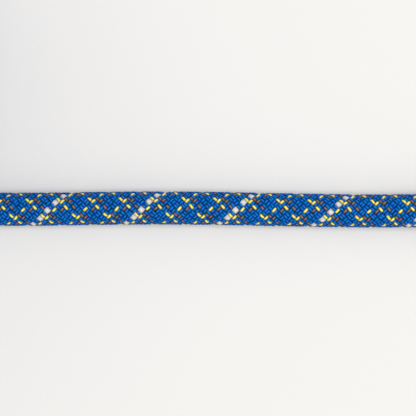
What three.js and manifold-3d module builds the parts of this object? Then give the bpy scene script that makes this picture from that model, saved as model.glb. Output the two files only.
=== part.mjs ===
// A dynamic climbing rope of kernmantle construction: a woven sheath over twisted core strands.
// One stretch lies straight out along +X, and the rest is put away in line with it as a hank.
// The hank stands on its flat base: the turns lie in upright planes, side by side across Y and
// layer on layer outwards, with an open eye at each fold and a strap round the waist.
// Millimetres, +Z up. The origin is under the middle of the whole rope, on the ground.

import * as THREE from 'three';
import Module from 'manifold-3d';
import { mergeVertices } from 'three/addons/utils/BufferGeometryUtils.js';

// Rope
const ROPE_DIAMETER = 10;
const SHEATH_WALL = 1.0;
const INNER_STRANDS = 3;
const OUTER_STRANDS = 9;
const TAPE_WIDTH = 1.3;
const TAPE_THICKNESS = 0.3;

// Rope ends
const BAND_LENGTH = 26;
const BAND_WALL = 0.5;
const TIP_LENGTH = 4;
const TIP_ROUNDING = 1.5;
const TIP_CUFF = 2;          // how far the melted tip reaches into its band

// Hank
const TURN_GAP = 0.1;        // between turns, sideways and outwards
const LAYERS = 5;
const COLUMNS = 8;
const FOLD_RADIUS = 30;      // innermost turn, at its middle
const SLOPE_LENGTH = 30.4;   // straight part of a turn, from each fold down towards the waist
const WAIST_LENGTH = 22;
const WAIST_BEND = 30;       // outermost turn, where it dips to the waist
const EYE_POINT_GAP = 3;     // the eye ends where the legs come this close

// Strap
const STRAP_WIDTH = 20;
const STRAP_THICKNESS = 1.2;
const STRAP_CORNER = 4;      // rounding where the strap turns at the hank's edges
const STRAP_NEAR_END = 16;   // from a bar of the buckle back to that end of the strap
const STRAP_FAR_END = 26;
const BUCKLE_BAR = 3;
const BUCKLE_WINDOW = 11;
const BUCKLE_LIFT = 0.6;     // over the turns on both sides of the strap

const CLEARANCE = 0.3;       // between pieces that touch

const ROPE_SIDES = 12;
const STRAND_SIDES = 8;
const RUN_STEP = 25;         // between sections along the straight stretch
const TAIL_STEP = 4;
const BAND_STEP = 10;

const ropeRadius = ROPE_DIAMETER / 2;
const bore = ropeRadius - SHEATH_WALL;
const turnPitch = ROPE_DIAMETER + TURN_GAP;

// The hank's own frame has its origin under the middle of the waist.
const stack = (LAYERS - 1) * turnPitch + ropeRadius;
const hankWidth = (COLUMNS - 1) * turnPitch + ROPE_DIAMETER;
const sideColumn = (hankWidth - ROPE_DIAMETER) / 2;
const innerLeg = stack;
const valleyRadius = WAIST_BEND + (LAYERS - 1) * turnPitch;
const valley = new THREE.Vector2(WAIST_LENGTH / 2, innerLeg + ROPE_DIAMETER + valleyRadius);
const bendRadii = FOLD_RADIUS + valleyRadius;
const valleyRise = valley.y - (innerLeg + FOLD_RADIUS);
const foldReach = Math.sqrt(SLOPE_LENGTH ** 2 + bendRadii ** 2 - valleyRise ** 2);
const fold = new THREE.Vector2(valley.x + foldReach, innerLeg + FOLD_RADIUS);
const slope = Math.atan2(bendRadii, SLOPE_LENGTH) - Math.atan2(valleyRise, foldReach);
const hankHalfLength = fold.x + FOLD_RADIUS + stack;

// The straight stretch, from where it leaves the hank's last turn to the rope's end:
// distance out along X, drift across Y, and rise above lying flat.
const STRETCH_ROUTE = [
  [-20, 0, 0], [0, 0, 0], [25, 0, 0], [50, 0, 0], [70, -0.1, 0], [83, -0.25, 0],
  [99, -0.2, 0], [115, 0.05, 0], [131, 0.15, 0], [147, 0.05, 0], [163, -0.25, 0],
  [179, -0.55, 0], [195, -0.75, 0], [210, -0.7, 0.4], [222, -0.6, 0.8], [245, -0.4, 0.8],
];

// The tail, tucked crosswise into the other fold's eye: distance from that fold's centre
// along X, distance in from the side column across Y, and share of its whole rise.
const TAIL_ROUTE = [
  [60, 0, 0], [40, 0, 0], [28, 0, 0.12], [17, -0.6, 0.46], [7, -4, 0.755], [-2, -11, 0.885],
  [-7, -21, 0.96], [-8.5, -32, 1], [-8.5, -46, 1], [-8.5, -60, 1], [-8.5, -72, 1],
];
const TAIL_SHOWS = 25;       // distance along that route where it comes out of the turns

// The tail's end lies against the eye's rounded wall, with its band clear of it.
const eyeRadius = FOLD_RADIUS - ropeRadius;
const bandRadius = ropeRadius + CLEARANCE + BAND_WALL;
const tailRise = FOLD_RADIUS
  - Math.sqrt((eyeRadius - bandRadius - CLEARANCE) ** 2 - TAIL_ROUTE.at(-1)[0] ** 2);

const wasm = await Module();
wasm.setup();

function toSolid(geometry) {
  const bare = geometry.clone();
  bare.deleteAttribute('normal');
  bare.deleteAttribute('uv');
  const merged = mergeVertices(bare, 1e-4);
  return new wasm.Manifold(new wasm.Mesh({
    numProp: 3,
    vertProperties: new Float32Array(merged.attributes.position.array),
    triVerts: new Uint32Array(merged.index.array),
  }));
}

function toGeometry(solid) {
  const { vertProperties, triVerts } = solid.getMesh();
  const geometry = new THREE.BufferGeometry();
  geometry.setAttribute('position', new THREE.BufferAttribute(vertProperties, 3));
  geometry.setIndex(new THREE.BufferAttribute(triVerts, 1));
  geometry.computeVertexNormals();
  return geometry;
}

// A path's points, without those where one piece of it ends and the next begins.
function outlinePoints(path, divisions) {
  const points = path.getPoints(divisions);
  return points.filter((p, i) => p.distanceTo(points[(i + 1) % points.length]) > 1e-4);
}

function polygon(radius, sides, centre = new THREE.Vector2()) {
  const outline = [];
  for (let i = 0; i < sides; i += 1) {
    const angle = ((i + 0.5) / sides) * 2 * Math.PI;
    const reach = radius / Math.cos(Math.PI / sides);
    outline.push(new THREE.Vector2(
      centre.x + reach * Math.cos(angle),
      centre.y + reach * Math.sin(angle),
    ));
  }
  return outline;
}

function tubeSection(outer, inner, sides) {
  const section = new THREE.Shape(polygon(outer, sides));
  if (inner > 0) section.holes.push(new THREE.Path(polygon(inner, sides).reverse()));
  return section;
}

// A section swept along the part of a curve between two distances from its start.
function sweep(section, curve, from, to, stepLength) {
  const steps = Math.max(2, Math.round((to - from) / stepLength));
  const length = curve.getLength();
  const points = [];
  for (let i = 0; i <= steps; i += 1) {
    points.push(curve.getPointAt((from + ((to - from) * i) / steps) / length));
  }
  const extrudePath = new THREE.CatmullRomCurve3(points);
  return new THREE.ExtrudeGeometry(section, { steps, extrudePath });
}

function routeCurve(points) {
  const places = points.map((p) => new THREE.Vector3(...p));
  const curve = new THREE.CatmullRomCurve3(places, false, 'centripetal');
  curve.arcLengthDivisions = 2000;
  return curve;
}

const object = new THREE.Group();
const tipEnd = fold.x + STRETCH_ROUTE.at(-1)[0];
object.position.x = (hankHalfLength - tipEnd) / 2;

function add(name, geometry, color, roughness, metalness = 0) {
  const material = new THREE.MeshStandardMaterial({ color, roughness, metalness });
  const mesh = new THREE.Mesh(geometry, material);
  mesh.name = name;
  object.add(mesh);
  return mesh;
}

// --- Hank ---

// The outline that lies a distance outside the innermost turn's middle line.
function hankOutline(outside) {
  const outer = FOLD_RADIUS + outside;
  const valleyOuter = valleyRadius - outside;
  const shape = new THREE.Shape();
  shape.moveTo(-fold.x, fold.y - outer);
  shape.lineTo(fold.x, fold.y - outer);
  shape.absarc(fold.x, fold.y, outer, -Math.PI / 2, Math.PI / 2 + slope, false);
  shape.absarc(valley.x, valley.y, valleyOuter, slope - Math.PI / 2, -Math.PI / 2, true);
  shape.absarc(-valley.x, valley.y, valleyOuter, -Math.PI / 2, -Math.PI / 2 - slope, true);
  shape.absarc(-fold.x, fold.y, outer, Math.PI / 2 - slope, Math.PI * 1.5, false);
  return new THREE.Shape(outlinePoints(shape, 9));
}

// The teardrop eye inside one fold, cut short where the legs nearly meet.
function eyeOutline(side) {
  const valleyInner = valleyRadius + ropeRadius;
  const closing = Math.acos(1 - EYE_POINT_GAP / valleyInner);
  const pointX = valley.x + valleyInner * Math.sin(closing);
  const eye = new THREE.Path();
  eye.moveTo(pointX, fold.y - eyeRadius);
  eye.lineTo(fold.x, fold.y - eyeRadius);
  eye.absarc(fold.x, fold.y, eyeRadius, -Math.PI / 2, Math.PI / 2 + slope, false);
  eye.absarc(valley.x, valley.y, valleyInner, slope - Math.PI / 2, closing - Math.PI / 2, true);
  eye.closePath();
  return new THREE.Shape(outlinePoints(eye, 8).map((p) => new THREE.Vector2(side * p.x, p.y)));
}

// Upright sections are drawn in X and Z and pushed out across Y, evenly about its middle.
function acrossWidth(shape, width) {
  const geometry = new THREE.ExtrudeGeometry(shape, { depth: width, bevelEnabled: false });
  geometry.rotateX(Math.PI / 2);
  geometry.translate(0, width / 2, 0);
  return geometry;
}

// Sections across the waist are drawn in Y and Z and pushed out along X.
function alongWaist(shape, length) {
  const geometry = new THREE.ExtrudeGeometry(shape, { depth: length, bevelEnabled: false });
  geometry.applyMatrix4(new THREE.Matrix4().makeBasis(
    new THREE.Vector3(0, 1, 0),
    new THREE.Vector3(0, 0, 1),
    new THREE.Vector3(1, 0, 0),
  ));
  geometry.translate(-length / 2, 0, 0);
  return geometry;
}

function roundedRectangle(length, width, radius) {
  const x = length / 2 - radius;
  const y = width / 2 - radius;
  const path = new THREE.Path();
  path.moveTo(-x, -y - radius);
  path.absarc(x, -y, radius, -Math.PI / 2, 0, false);
  path.absarc(x, y, radius, 0, Math.PI / 2, false);
  path.absarc(-x, y, radius, Math.PI / 2, Math.PI, false);
  path.absarc(-x, -y, radius, Math.PI, Math.PI * 1.5, false);
  return outlinePoints(path, 4);
}

const waistTop = valley.y - (valleyRadius - stack);
const groove = STRAP_THICKNESS + 2 * CLEARANCE;
const grooveCorner = STRAP_CORNER - STRAP_THICKNESS / 2 - CLEARANCE;

function waistBlock(width, height, length, rounding) {
  const block = alongWaist(new THREE.Shape(roundedRectangle(width, height, rounding)), length);
  block.translate(0, 0, waistTop / 2);
  return block;
}

// The tail's first stretch lies among the turns, and the last turn runs out as the straight one.
const tail = routeCurve(TAIL_ROUTE.map(([x, y, rise]) => (
  [x - fold.x, y + sideColumn, rise * tailRise + innerLeg])));
const straight = routeCurve(STRETCH_ROUTE.map(([x, y, z]) => (
  [x + fold.x, y - sideColumn, z + ropeRadius])));
const leaving = -STRETCH_ROUTE[0][0];
const straightStart = leaving + CLEARANCE;

const channel = tubeSection(ropeRadius + CLEARANCE, 0, ROPE_SIDES);
const grooveLength = STRAP_WIDTH + 2 * CLEARANCE;
const pressedWaist = waistBlock(
  hankWidth - 2 * groove, waistTop - 2 * groove, 2 * grooveLength, grooveCorner,
);
const grooveRing = toSolid(waistBlock(2 * hankWidth, 2 * waistTop, grooveLength, grooveCorner))
  .subtract(toSolid(pressedWaist));
const hank = toSolid(acrossWidth(hankOutline(stack), hankWidth))
  .subtract(toSolid(acrossWidth(eyeOutline(1), 2 * hankWidth)))
  .subtract(toSolid(acrossWidth(eyeOutline(-1), 2 * hankWidth)))
  .subtract(grooveRing)
  .subtract(toSolid(sweep(channel, straight, leaving, leaving + FOLD_RADIUS + stack, RUN_STEP)))
  .subtract(toSolid(sweep(channel, tail, TAIL_SHOWS - CLEARANCE, tail.getLength(), TAIL_STEP)));
add('hank', toGeometry(hank), 0x2a63a0, 0.75);

// --- The straight stretch ---

const ropeEnd = straight.getLength();
const tipStart = ropeEnd - TIP_LENGTH;
const sheathEnd = tipStart - TIP_CUFF - CLEARANCE;

// What runs along the whole straight stretch, from the hank to the melted tip.
function alongStretch(section) {
  return sweep(section, straight, straightStart, sheathEnd, RUN_STEP);
}

add('sheath', alongStretch(tubeSection(ropeRadius, bore, ROPE_SIDES)), 0x2a63a0, 0.72);

// Round strands fill the bore, with a clearance all round each of them. The outer ones share
// their ring with the tape, which takes one place in it.
const places = OUTER_STRANDS + 1;
const placeSine = Math.sin(Math.PI / places);
const strandReach = ((bore - CLEARANCE) * placeSine - CLEARANCE / 2) / (1 + placeSine);
const outerRing = bore - CLEARANCE - strandReach;
const innerRing = (2 * strandReach + CLEARANCE) / (2 * Math.sin(Math.PI / INNER_STRANDS));

function strandSection(ring, angle) {
  const centre = new THREE.Vector2(ring * Math.cos(angle), ring * Math.sin(angle));
  return new THREE.Shape(polygon(strandReach * Math.cos(Math.PI / STRAND_SIDES), STRAND_SIDES, centre));
}

const strandAngles = [];
for (let i = 0; i < INNER_STRANDS; i += 1) {
  strandAngles.push([innerRing, ((i + 0.5) / INNER_STRANDS) * 2 * Math.PI]);
}
for (let i = 1; i < places; i += 1) {
  strandAngles.push([outerRing, (i / places) * 2 * Math.PI]);
}
strandAngles.forEach(([ring, angle], i) => {
  const name = `core_strand_${String(i + 1).padStart(2, '0')}`;
  add(name, alongStretch(strandSection(ring, angle)), 0xf2f0ea, 0.6);
});

const tape = new THREE.Shape([
  new THREE.Vector2(outerRing - TAPE_THICKNESS / 2, -TAPE_WIDTH / 2),
  new THREE.Vector2(outerRing + TAPE_THICKNESS / 2, -TAPE_WIDTH / 2),
  new THREE.Vector2(outerRing + TAPE_THICKNESS / 2, TAPE_WIDTH / 2),
  new THREE.Vector2(outerRing - TAPE_THICKNESS / 2, TAPE_WIDTH / 2),
]);
add('id_tape', alongStretch(tape), 0xd8d040, 0.5);

// --- Rope ends ---

function band(name, curve, end) {
  const section = tubeSection(bandRadius, bandRadius - BAND_WALL, ROPE_SIDES);
  const edge = end - TIP_LENGTH + CLEARANCE;
  add(name, sweep(section, curve, edge - CLEARANCE - BAND_LENGTH, edge, BAND_STEP), 0x1b1d20, 0.5);
}

// A melted tip: a plug as wide as the rope, with a rounded face.
function tip(name, curve) {
  const profile = new THREE.Path();
  const face = TIP_LENGTH - TIP_ROUNDING;
  profile.moveTo(0, -TIP_CUFF);
  profile.lineTo(ropeRadius, -TIP_CUFF);
  profile.lineTo(ropeRadius, face);
  profile.absarc(ropeRadius - TIP_ROUNDING, face, TIP_ROUNDING, 0, Math.PI / 2, false);
  profile.lineTo(0, TIP_LENGTH);
  const geometry = new THREE.LatheGeometry(outlinePoints(profile, 4), 2 * ROPE_SIDES);
  const mesh = add(name, geometry, 0x17304f, 0.35);
  const end = curve.getPointAt(1);
  const along = curve.getTangentAt(1);
  mesh.quaternion.setFromUnitVectors(new THREE.Vector3(0, 1, 0), along);
  mesh.position.copy(end).addScaledVector(along, -TIP_LENGTH);
}

band('front_end_band', straight, ropeEnd);
tip('front_fused_tip', straight);

const tailEnd = tail.getLength();
const tailSheathEnd = tailEnd - TIP_LENGTH - TIP_CUFF - CLEARANCE;
const tailSection = tubeSection(ropeRadius, 0, ROPE_SIDES);
add('tail', sweep(tailSection, tail, TAIL_SHOWS, tailSheathEnd, TAIL_STEP), 0x2a63a0, 0.72);
band('tail_end_band', tail, tailEnd);
tip('tail_fused_tip', tail);

// --- Strap and buckle ---

// The strap is one ribbon: it turns round one bar of the buckle, goes round the waist,
// comes up through the window, turns round the other bar and folds back on itself.
const half = STRAP_THICKNESS / 2;
const barReach = BUCKLE_BAR / 2 + 2 * CLEARANCE + half;
const strapSide = hankWidth / 2 - groove + CLEARANCE + half;
const strapTop = waistTop - groove + CLEARANCE + half;
const strapBottom = groove - CLEARANCE - half;
const barY = (BUCKLE_WINDOW + BUCKLE_BAR) / 2;
const barZ = strapTop + barReach + BUCKLE_LIFT;

function ribbonLine() {
  const line = new THREE.Path();
  const foldBackZ = barZ + barReach;
  const cornerY = strapSide - STRAP_CORNER;
  const upperZ = strapTop - STRAP_CORNER;
  const lowerZ = strapBottom + STRAP_CORNER;
  line.moveTo(barY + STRAP_NEAR_END, foldBackZ);
  line.lineTo(barY, foldBackZ);
  line.absarc(barY, barZ, barReach, Math.PI / 2, Math.PI * 1.5, false);
  line.lineTo(cornerY, strapTop);
  line.absarc(cornerY, upperZ, STRAP_CORNER, Math.PI / 2, 0, true);
  line.lineTo(strapSide, lowerZ);
  line.absarc(cornerY, lowerZ, STRAP_CORNER, 0, -Math.PI / 2, true);
  line.lineTo(-cornerY, strapBottom);
  line.absarc(-cornerY, lowerZ, STRAP_CORNER, -Math.PI / 2, -Math.PI, true);
  line.lineTo(-strapSide, upperZ);
  line.absarc(-cornerY, upperZ, STRAP_CORNER, Math.PI, Math.PI / 2, true);
  line.lineTo(-barY, strapTop);
  line.absarc(-barY, barZ, barReach, -Math.PI / 2, Math.PI / 2, false);
  line.lineTo(-barY - STRAP_FAR_END, foldBackZ);
  return outlinePoints(line, 6);
}

// Both edges of a ribbon, half its thickness to each side of its middle line.
function ribbonShape(line) {
  const near = [];
  const far = [];
  line.forEach((point, i) => {
    const before = line[Math.max(i - 1, 0)];
    const after = line[Math.min(i + 1, line.length - 1)];
    const along = new THREE.Vector2().subVectors(after, before).normalize();
    const out = new THREE.Vector2(-along.y, along.x).multiplyScalar(half);
    near.push(point.clone().add(out));
    far.unshift(point.clone().sub(out));
  });
  return new THREE.Shape([...near, ...far]);
}

add('tie_strap', alongWaist(ribbonShape(ribbonLine()), STRAP_WIDTH), 0x202328, 0.85);

const bevel = BUCKLE_BAR / 3;
const windowLength = STRAP_WIDTH + 4 * CLEARANCE;
const buckleLength = windowLength + 2 * BUCKLE_BAR;
const buckleWidth = BUCKLE_WINDOW + 2 * BUCKLE_BAR;
const buckle = new THREE.Shape(roundedRectangle(buckleLength, buckleWidth, BUCKLE_BAR));
const buckleWindow = roundedRectangle(windowLength, BUCKLE_WINDOW, bevel);
buckle.holes.push(new THREE.Path(buckleWindow.reverse()));

const buckleGeometry = new THREE.ExtrudeGeometry(buckle, {
  depth: BUCKLE_BAR - 2 * bevel,
  bevelSize: bevel,
  bevelThickness: bevel,
  bevelOffset: -bevel,
  bevelSegments: 2,
});
buckleGeometry.translate(0, 0, barZ - BUCKLE_BAR / 2 + bevel);
add('tie_buckle', buckleGeometry, 0x2c2f33, 0.4);

export default object;
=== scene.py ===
import math

import bpy
import numpy as np
from bpy.props import FloatProperty, FloatVectorProperty, IntProperty, PointerProperty
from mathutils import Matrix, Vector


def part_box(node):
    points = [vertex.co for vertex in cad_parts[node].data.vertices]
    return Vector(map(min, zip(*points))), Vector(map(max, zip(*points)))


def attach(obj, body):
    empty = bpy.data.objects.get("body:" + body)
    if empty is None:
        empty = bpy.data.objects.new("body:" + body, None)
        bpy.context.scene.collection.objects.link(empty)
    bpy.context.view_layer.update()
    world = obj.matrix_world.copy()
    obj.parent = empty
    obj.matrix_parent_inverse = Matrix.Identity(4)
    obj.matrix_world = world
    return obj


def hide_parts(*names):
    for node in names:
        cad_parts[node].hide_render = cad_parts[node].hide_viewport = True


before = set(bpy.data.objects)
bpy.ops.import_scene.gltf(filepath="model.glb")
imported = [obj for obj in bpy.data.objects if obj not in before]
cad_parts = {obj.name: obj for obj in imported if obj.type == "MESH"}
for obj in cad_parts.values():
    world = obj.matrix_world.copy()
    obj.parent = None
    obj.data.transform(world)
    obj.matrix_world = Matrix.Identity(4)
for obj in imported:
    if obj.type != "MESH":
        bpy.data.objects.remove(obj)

bl_info = {
    "name": "Dynamic climbing rope",
    "version": (1, 0, 0),
    "blender": (4, 5, 0),
    "location": "3D View > Sidebar > Rope",
    "description": "Builds a braided climbing rope, its straight stretch, its hank and its tie",
    "category": "Object",
}

MM = 0.001
TURN = 2 * math.pi
BODY = "root"
MAP = "OFBake"                      # the pieces' own map: along the yarn or rope, and around it
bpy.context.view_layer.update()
HANK_LOW, HANK_HIGH = (np.array(corner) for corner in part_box("hank"))
SHEATH_LOW, SHEATH_HIGH = (np.array(corner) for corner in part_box("sheath"))
WAIST = np.array([(HANK_LOW[0] + HANK_HIGH[0]) / 2, (HANK_LOW[1] + HANK_HIGH[1]) / 2, 0.0])


# --- Sizes and colours a user would change ---

class RopeSheathSettings(bpy.types.PropertyGroup):
    """The rope's thickness, its braid and its yarn colours."""

    diameter: FloatProperty(
        name="Diameter", description="Across the whole rope", default=10 * MM, unit="LENGTH")
    wall: FloatProperty(
        name="Sheath wall", description="Two crossing yarns thick", default=1.0 * MM, unit="LENGTH")
    braid_pitch: FloatProperty(
        name="Braid pitch", description="Length in which one carrier goes once round",
        default=28.53 * MM, unit="LENGTH")
    carriers: IntProperty(
        name="Carriers", description="Yarn pairs that run each way round", default=12, min=4)
    blue: FloatVectorProperty(
        name="Blue yarn", description="Main colour", subtype="COLOR", size=3, default=(0.0, 0.140, 0.555))
    yellow: FloatVectorProperty(
        name="Yellow yarn", description="First tracer", subtype="COLOR", size=3,
        default=(0.80, 0.72, 0.15))
    brown: FloatVectorProperty(
        name="Brown yarn", description="Second tracer", subtype="COLOR", size=3,
        default=(0.20, 0.14, 0.13))
    white: FloatVectorProperty(
        name="White yarn", description="The one white carrier", subtype="COLOR", size=3,
        default=(0.62, 0.61, 0.60))


class RopeHankSettings(bpy.types.PropertyGroup):
    """How the rope that isn't in use is wound."""

    turn_pitch: FloatProperty(
        name="Turn pitch", description="From one turn to the next", default=10.1 * MM, unit="LENGTH")
    layers: IntProperty(name="Layers", description="Turns one outside the other", default=5, min=1)
    columns: IntProperty(name="Columns", description="Turns side by side", default=8, min=2)
    fold_radius: FloatProperty(
        name="Fold radius", description="Innermost turn at its middle", default=30 * MM, unit="LENGTH")
    waist_length: FloatProperty(
        name="Waist length", description="Flat stretch under the tie", default=22 * MM, unit="LENGTH")
    waist_bend: FloatProperty(
        name="Waist bend", description="Outermost turn where it dips", default=30 * MM, unit="LENGTH")


class RopeTieSettings(bpy.types.PropertyGroup):
    """The webbing tie and its buckle."""

    width: FloatProperty(name="Width", description="Of the webbing", default=20 * MM, unit="LENGTH")
    thickness: FloatProperty(
        name="Thickness", description="Of the webbing", default=1.2 * MM, unit="LENGTH")
    bar: FloatProperty(
        name="Buckle bar", description="Thickness of the ladder ring", default=3 * MM, unit="LENGTH")
    window: FloatProperty(
        name="Buckle window", description="Opening between its two bars", default=11 * MM, unit="LENGTH")
    lift: FloatProperty(
        name="Buckle lift", description="Height of the ring over the waist", default=0.6 * MM,
        unit="LENGTH")


class RopeStageSettings(bpy.types.PropertyGroup):
    """The floor, the lights and the camera."""

    view_width: FloatProperty(
        name="View width", description="Width of rope that the camera sees",
        default=127.4 * MM, unit="LENGTH")
    lens: FloatProperty(name="Lens", description="Focal length in millimetres", default=100.0)
    floor_colour: FloatVectorProperty(
        name="Floor", description="Pale surface under the rope", subtype="COLOR", size=3,
        default=(0.805, 0.79, 0.767))


# --- Shader maths ---

class Value:
    """A socket that can be used in arithmetic, which adds Math nodes."""

    def __init__(self, graph, socket):
        self.graph, self.socket = graph, socket

    def __add__(self, other):
        return self.graph.maths("ADD", self, other)

    def __sub__(self, other):
        return self.graph.maths("SUBTRACT", self, other)

    def __rsub__(self, other):
        return self.graph.maths("SUBTRACT", other, self)

    def __mul__(self, other):
        return self.graph.maths("MULTIPLY", self, other)

    def __truediv__(self, other):
        return self.graph.maths("DIVIDE", self, other)

    def __mod__(self, other):
        return self.graph.maths("FLOORED_MODULO", self, other)

    def __lt__(self, other):
        return self.graph.maths("LESS_THAN", self, other)

    def __abs__(self):
        return self.graph.maths("ABSOLUTE", self)

    __radd__, __rmul__ = __add__, __mul__


class Graph:
    """A material's node tree and its Principled shader."""

    def __init__(self, name):
        self.material = bpy.data.materials.new(name)
        self.material.use_nodes = True
        self.tree = self.material.node_tree
        self.shader = next(n for n in self.tree.nodes if n.type == "BSDF_PRINCIPLED")

    def node(self, kind, settings=None, sockets=None):
        """Adds a node: its settings come first, then the values or links of its sockets."""
        node = self.tree.nodes.new(kind)
        for key, value in (settings or {}).items():
            if key == "stops":
                self.set_stops(node.color_ramp, value)
            else:
                setattr(node, key, value)
        for key, value in (sockets or {}).items():
            self.feed(node.inputs[key], value)
        return node

    @staticmethod
    def set_stops(ramp, stops):
        while len(ramp.elements) < len(stops):
            ramp.elements.new(1.0)
        for element, (position, colour) in zip(ramp.elements, stops):
            element.position = position
            element.color = (*colour, 1.0)

    def feed(self, socket, value):
        if isinstance(value, Value):
            self.tree.links.new(value.socket, socket)
        elif isinstance(value, bpy.types.NodeSocket):
            self.tree.links.new(value, socket)
        elif socket.type == "RGBA" and len(value) == 3:
            socket.default_value = (*value, 1.0)
        else:
            socket.default_value = value

    def maths(self, operation, *values):
        node = self.node("ShaderNodeMath", {"operation": operation})
        for socket, value in zip(node.inputs, values):
            self.feed(socket, value)
        return Value(self, node.outputs[0])

    def near(self, value, target):
        """1 where a whole number is the target, and 0 elsewhere."""
        return self.maths("COMPARE", value, target, 0.5)

    def mix(self, share, first, second):
        """A colour between two, by share."""
        node = self.node("ShaderNodeMix", {"data_type": "RGBA"})
        for socket, value in zip((node.inputs[0], node.inputs[6], node.inputs[7]), (share, first, second)):
            self.feed(socket, value)
        return node.outputs[2]

    def smooth(self, value, low, high):
        """0 at low and 1 at high, with a soft change between them."""
        node = self.node(
            "ShaderNodeMapRange", {"interpolation_type": "SMOOTHSTEP"},
            {"Value": value, "From Min": low, "From Max": high})
        return Value(self, node.outputs["Result"])

    def map_place(self):
        """The place on the piece's own map: along and around."""
        place = self.node("ShaderNodeUVMap", {"uv_map": MAP})
        parts = self.node("ShaderNodeSeparateXYZ", sockets={"Vector": place.outputs[0]})
        return Value(self, parts.outputs[0]), Value(self, parts.outputs[1])

    def place(self, x, y, z):
        return self.node("ShaderNodeCombineXYZ", sockets={"X": x, "Y": y, "Z": z}).outputs[0]

    def noise(self, where, scale, detail=2.0):
        node = self.node(
            "ShaderNodeTexNoise", {"noise_dimensions": "3D"},
            {"Vector": where, "Scale": scale, "Detail": detail})
        return Value(self, node.outputs["Fac"])

    def bump(self, height, distance, strength=1.0):
        node = self.node(
            "ShaderNodeBump", sockets={"Height": height, "Distance": distance, "Strength": strength})
        self.feed(self.shader.inputs["Normal"], node.outputs[0])

    def finish(self, colour, roughness, constants=None):
        self.feed(self.shader.inputs["Base Color"], colour)
        self.feed(self.shader.inputs["Roughness"], roughness)
        for name, value in (constants or {}).items():
            self.shader.inputs[name].default_value = value
        return self.material


# --- Materials ---

STRIPS = 12                         # strips of the yarns' map, one for each shade of yarn
BLUE_STRIPS, YELLOW_STRIPS, BROWN_STRIPS, WHITE_STRIPS = (0, 6), (6, 8), (8, 10), (10, 12)
HANK_TILE = 3                       # braid pitches in one repeat of the hank's map
# Where painted shade gives way to the yarn's own colour: along a yarn's wave, from hidden to in full light,
# and round its section, from its side to its face.
MAIN_DIVE, TRACER_DIVE = (-0.55, 0.5), (-0.15, 0.6)
TURN_IN, WHITE_TURN_IN = (0.25, 0.12), (0.25, 0.21)
DEEP_SHADE = 0.07                   # painted shade: the share of the yarn's colour kept in the gaps
# Painted highlight: how far the glint's colour is lifted on the crowns of the floats.
PAINTED_GLINT_LIFT = 0.02
BAND_TURNS = 2                      # of the braid under a band, over the whole of its map
YARN_GLOSS = {"Specular IOR Level": 0.03}
SOFT_SHEEN = {"Sheen Weight": 0.25, "Sheen Roughness": 0.4, "Specular IOR Level": 0.4}


def scaled(colour, factor, lift=0.0):
    return tuple(min(1.0, channel * factor + lift) for channel in colour)


def round_noise(graph, along, across, round_scale, across_scale, detail=2.0):
    """Noise that repeats where along goes up by 1, so that a map of it can be tiled."""
    angle = along * TURN
    where = graph.place(
        graph.maths("COSINE", angle) * round_scale,
        graph.maths("SINE", angle) * round_scale, across * across_scale)
    return graph.noise(where, 1.0, detail)


def yarn_material(name, colour, carriers, shade, dive, turn_in):
    """A flat bundle of filaments: fine streaks along it, painted shade where it turns in or dives, and a
    painted highlight on the crown of each float.

    Along the map a yarn is at its highest once for every carrier it passes, from 0 on. Across a
    strip of the map it goes round the yarn, and faces out a quarter of the way along.
    """
    graph = Graph(name)
    along, around = graph.map_place()
    strip = graph.maths("FLOOR", around * STRIPS)
    turned = abs(around * STRIPS - strip - 0.25)
    streaks = round_noise(graph, along, around, 3.0, STRIPS * 45.0, 1.0)
    patches = round_noise(graph, along, around, 6.0, STRIPS * 1.5)
    own = graph.maths("FRACT", graph.maths("SINE", strip * 12.9 + 1.7) * 43.7)
    wave = graph.maths("COSINE", along * (TURN * carriers))
    # Painted highlight: the glint is lighter colour where a float's crown faces out.
    painted_glint = graph.smooth(wave, 0.4, 1.0) * graph.smooth(turned, 0.14, 0.0)
    # The streaks, patches and each yarn's own number vary the tone at random; the streaks' light lines also
    # stand in for highlights on the filaments, and the glint adds a painted highlight.
    light = streaks * 0.7 + patches * 0.6 + own * 0.25 + painted_glint * 0.4 - 0.55
    # Painted shade: where the yarn dives under the other hand or turns in at its sides, its colour drops to
    # DEEP_SHADE.
    out_of_painted_shade = graph.smooth(wave, *dive) * graph.smooth(turned, *turn_in)
    tone_and_painted_highlight = graph.mix(light, scaled(colour, 1 - shade), scaled(colour, 1 + shade))
    # Painted highlight on the glint, broken up by the streaks and patches.
    tone_and_painted_highlight = graph.mix(painted_glint * streaks * patches * 2.4, tone_and_painted_highlight, scaled(colour, 1.25, PAINTED_GLINT_LIFT))
    colour_out = graph.mix(out_of_painted_shade, scaled(colour, DEEP_SHADE), tone_and_painted_highlight)
    graph.bump(streaks, 0.06 * MM, 0.9)
    return graph.finish(colour_out, 0.6 - streaks * 0.25, YARN_GLOSS)


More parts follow.
